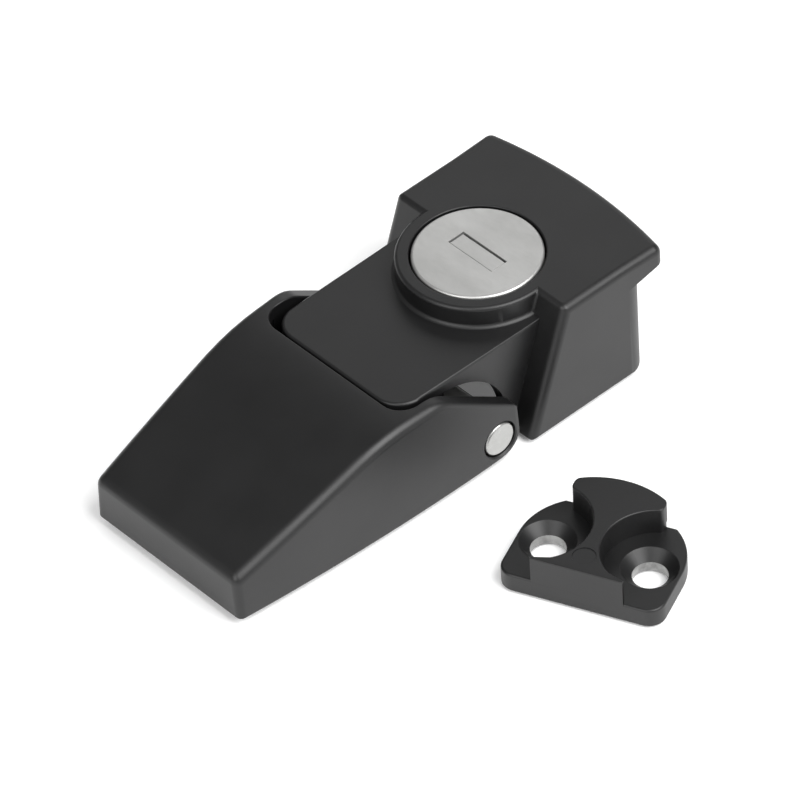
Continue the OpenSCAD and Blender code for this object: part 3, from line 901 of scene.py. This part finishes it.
def build_keeper():
    keeper = join(keeper_plate(), keeper_post())
    sink_foot = keeper_t - (sink_r - hole_r)
    for side in (-1, 1):
        y = side * hole_y
        cut(keeper,
            rod("screw_hole", (hole_x, y, -1), (hole_x, y, 5), hole_r, sides=96),
            rod("screw_sink", (hole_x, y, sink_foot - 0.2), (hole_x, y, keeper_t + 0.5),
                hole_r - 0.2, sink_r + 0.5, sides=112))
    cut(keeper, rod("ejector_mark", (mark_x, 0, post_h - mark_depth), (mark_x, 0, post_h + 1), mark_r,
                    sides=64))
    edit(keeper)
    round_edges(lambda e: all(abs(math.hypot(v.co.x - mark_x, v.co.y) - mark_r) < TINY
                              and v.co.z > post_h - TINY for v in e.verts), 0.12, 2)
    leave()
    edit(keeper)
    sink_rim = lambda v: abs(math.hypot(v.co.x - hole_x, abs(v.co.y) - hole_y) - sink_r) < 0.03
    round_edges(lambda e: all(sink_rim(v) and abs(v.co.z - keeper_t) < TINY for v in e.verts), 0.1, 2)
    leave()
    keeper.rotation_euler.z = keeper_yaw
    keeper.location = keeper_front
    make_active(keeper)
    bpy.ops.object.transform_apply(location=True, rotation=True, scale=True)
    finish_piece(keeper, "keeper_casting", black_coat, "base", "black_coat", "keeper")
    keeper.data.materials.append(bare_zinc)
    centers = [keeper_front + Matrix.Rotation(keeper_yaw, 3, "Z") @ Vector((hole_x, side * hole_y, 0))
               for side in (-1, 1)]
    edit(keeper)
    keeper.active_material_index = 1
    pick("FACE", lambda f: min((f.calc_center_median() * MM - c).xy.length for c in centers) < hole_r + 0.05
         and TINY < f.calc_center_median().z * MM < sink_foot)
    bpy.ops.object.material_slot_assign()
    leave()
    return keeper


# ---------------------------------------------------------------- lock


def build_cap():
    """Pressed cap with a rounded rim and the window for the key."""
    cap_r = (cap_high.x - cap_low.x) / 2
    cap = rod("cap", (lock.x, 0, cap_low.z), (lock.x, 0, cap_high.z), cap_r, sides=192)
    edit(cap)
    round_edges(lambda e: all(v.co.z > cap_high.z - TINY for v in e.verts), 0.5, 6)
    leave()
    cut(cap,
        rod("cap_inside", (lock.x, 0, 0), (lock.x, 0, cap_high.z - cap_wall), cap_r - cap_wall, sides=192),
        block("window", window_low, window_high))
    edit(cap)
    round_edges(lambda e: all(v.co.z > cap_high.z - TINY for v in e.verts)
                and abs(middle(e).y) < window_high.y + 1 and abs(middle(e).x - lock.x) < 4, 0.07, 2)
    leave()
    return finish_piece(cap, "lock_cap", cap_steel, "plug", "cap_steel", "plug_cap")


def build_flap():
    """Flap that closes the window, with the leg and knuckle that hang it on its pin."""
    half_w = lock.x - shutter_low.x
    top = shutter_high.z
    flap = block("flap", (lock.x - half_w, shutter_low.y, top - flap_t),
                 (lock.x + half_w, shutter_high.y, top))
    leg = block("flap_leg", (lock.x + half_w - 0.6, -knuckle_half_l, flap_pin.z),
                (lock.x + half_w, knuckle_half_l, top - 0.1))
    knuckle = rod("knuckle", (flap_pin.x, -knuckle_half_l, flap_pin.z),
                  (flap_pin.x, knuckle_half_l, flap_pin.z), 0.6)
    join(flap, leg, knuckle)
    edit(flap)
    round_edges(lambda e: all(v.co.z > top - TINY for v in e.verts), 0.12, 3)
    leave()
    cut(flap, rod("pin_hole", (flap_pin.x, -8, flap_pin.z), (flap_pin.x, 8, flap_pin.z), 0.35, sides=32))
    return finish_piece(flap, "key_flap", cap_steel, "shutter", "cap_steel", "key_shutter")


def build_cam():
    """Cam with its square hole and the finger that drops behind the keeper."""
    cam = rod("cam", (lock.x, 0, cam_z), (lock.x, 0, cam_high.z), cam_hub_r, sides=96)
    half_w = cam_w / 2
    join(cam,
         block("cam_arm", (lock.x - half_w, 0, cam_z), (lock.x + half_w, cam_high.y, cam_high.z)),
         block("cam_finger", (lock.x - half_w, cam_high.y - finger_t, cam_low.z),
               (lock.x + half_w, cam_high.y, cam_z + 1)))
    merge_flat(cam)
    cut(cam, block("cam_square", (lock.x - 3, -3, 0), (lock.x + 3, 3, 30)))
    soften(cam, 0.25, 3, 30)
    return finish_piece(cam, "lock_cam_plate", plated_steel, "plug", "plated_steel", "lock_cam")


def build_cam_screw():
    """Pan head screw with a cross recess, its head downwards."""
    head_r = (screw_high.x - screw_low.x) / 2
    screw = rod("screw_head", (lock.x, 0, screw_low.z), (lock.x, 0, washer_low.z), head_r, sides=64)
    edit(screw)
    round_edges(lambda e: all(v.co.z < screw_low.z + TINY for v in e.verts), 0.55, 5)
    leave()
    join(screw, rod("screw_shank", (lock.x, 0, screw_low.z + 0.6), (lock.x, 0, screw_high.z), 1.5,
                    sides=48))
    for long, short in ((1.6, 0.3), (0.3, 1.6)):
        cut(screw, block("recess", (lock.x - long, -short, 0), (lock.x + long, short, screw_low.z + 0.8)))
    soften(screw, 0.06, 2, 40)
    return finish_piece(screw, "cam_screw_body", plated_steel, "plug", "plated_steel", "cam_screw")


def coil(name, start, length, coil_r, wire_r, turns):
    """A spring along Y: a round wire wound about its own axis."""
    deselect()
    bpy.ops.mesh.primitive_circle_add(vertices=8, radius=wire_r)
    spring = bpy.context.object
    spring.name = name
    spring.rotation_euler.x = math.radians(90)
    spring.location.x = coil_r
    bpy.ops.object.transform_apply(location=True, rotation=True, scale=True)
    apply_modifier(spring, "SCREW", axis="Z", angle=math.tau, iterations=turns, steps=16, render_steps=16,
                   screw_offset=(length - 2 * wire_r) / turns, use_merge_vertices=True)
    edit(spring)
    bpy.ops.mesh.select_all(action="SELECT")
    bpy.ops.mesh.fill_holes(sides=0)
    leave()
    spring.rotation_euler.x = math.radians(-90)
    spring.location = Vector(start) + Vector((0, wire_r, 0))
    bpy.ops.object.transform_apply(location=True, rotation=True, scale=True)
    return spring


def build_springs():
    """The flap's torsion spring, and the four small springs behind the wafers."""
    flap_spring_low, flap_spring_high = box_mm("shutter_spring")
    torsion = coil("torsion", (flap_pin.x, flap_spring_low.y, flap_pin.z),
                   flap_spring_high.y - flap_spring_low.y, 0.53, 0.11, 4)
    finish_piece(torsion, "flap_spring", spring_wire, "plug", "spring_steel", "shutter_spring")
    springs = []
    for i in range(4):
        z = spring_low.z + (spring_high.z - spring_low.z - 1) * i / 3 + 0.5
        start = ((spring_low.x + spring_high.x) / 2, spring_low.y, z)
        springs.append(coil("wafer_coil", start, spring_high.y - spring_low.y, 0.39, 0.10, 9))
    make_active(springs[0])
    for spring in springs:
        spring.select_set(True)
    bpy.ops.object.join()
    finish_piece(springs[0], "wafer_coils", spring_wire, "plug", "spring_steel", "wafer_springs")


# ---------------------------------------------------------------- pins and base


def build_pins():
    """Main pivot pin, and the thinner pin between lever and head, with turned-down ends."""
    for node, material, body, center, ease in (("pivot_pin", pin_steel, "base", pivot, 0.45),
                                               ("link_pin", pin_steel, "lever", link, 0.3)):
        low, high = box_mm(node)
        radius = (high.x - low.x) / 2
        pin = rod(node + "_turned", (center.x, low.y, center.z), (center.x, high.y, center.z), radius,
                  sides=96)
        edit(pin)
        round_edges(lambda e: abs(along(e).y) < 0.5, ease, 3)
        leave()
        finish_piece(pin, node + "_turned", material, body, "pin_steel", node)


def build_base():
    """Base plate with a narrow spine between the lever's walls, ribs, and lugs for the pin."""
    half = base_high.y - base_lug_step
    base = block("base", (base_low.x, -half, 0), (window_start, half, base_t))
    join(base,
         block("spine", (window_start - 1, -spine_half_w, 0), (base_high.x, spine_half_w, base_t)),
         block("yoke", (lug_foot_x + 1, -half, 0), (base_high.x, half, base_t)),
         block("yoke_wing", (lug_foot_x + 1.5, -base_high.y, 0),
               (pivot.x + lug_r - 0.3, base_high.y, base_t)))
    for side in (-1, 1):
        inner, outer = sorted((side * base_lug_in, side * base_high.y))
        join(base,
             rod("lug", (pivot.x, inner, pivot.z), (pivot.x, outer, pivot.z), lug_r, sides=96),
             block("lug_foot", (lug_foot_x + 0.3, inner, 0), (pivot.x + lug_r - 0.3, outer, pivot.z)),
             block("rib", (base_low.x + 2, min(side * half, side * (half - rib_w)), 0),
                   (window_start - 2, max(side * half, side * (half - rib_w)), rib_top)))
    merge_flat(base)
    soften(base, 0.3, 2, 40)
    for x in (-screw_dx / 2, screw_dx / 2):
        for y in (-screw_dy / 2, screw_dy / 2):
            cut(base, rod("screw_hole", (x, y, -1), (x, y, 5), screw_r))
    cut(base, rod("pin_hole", (pivot.x, -30, pivot.z), (pivot.x, 30, pivot.z), 3.2, sides=96))
    return finish_piece(base, "base_casting", black_coat, "base", "black_coat", "base_plate")


def coat_nodes():
    """Gives the CAD nodes that stay their own finishes."""
    finishes = {"lock_sleeve": cast_zinc, "lock_plug": cast_zinc, "sleeve_screw": plated_steel,
                "shutter_pin": pin_steel, "seal_ring": rubber, "plug_clip": spring_wire,
                "cam_washer": plated_steel}
    finishes.update({"wafer_%d" % i: wafer_brass for i in range(1, 5)})
    for node, material in finishes.items():
        piece = bpy.data.objects[node]
        piece.data.materials.clear()
        piece.data.materials.append(material)


build_lever()
build_head()
build_keeper()
build_cap()
build_flap()
build_cam()
build_cam_screw()
build_springs()
build_pins()
build_base()
coat_nodes()
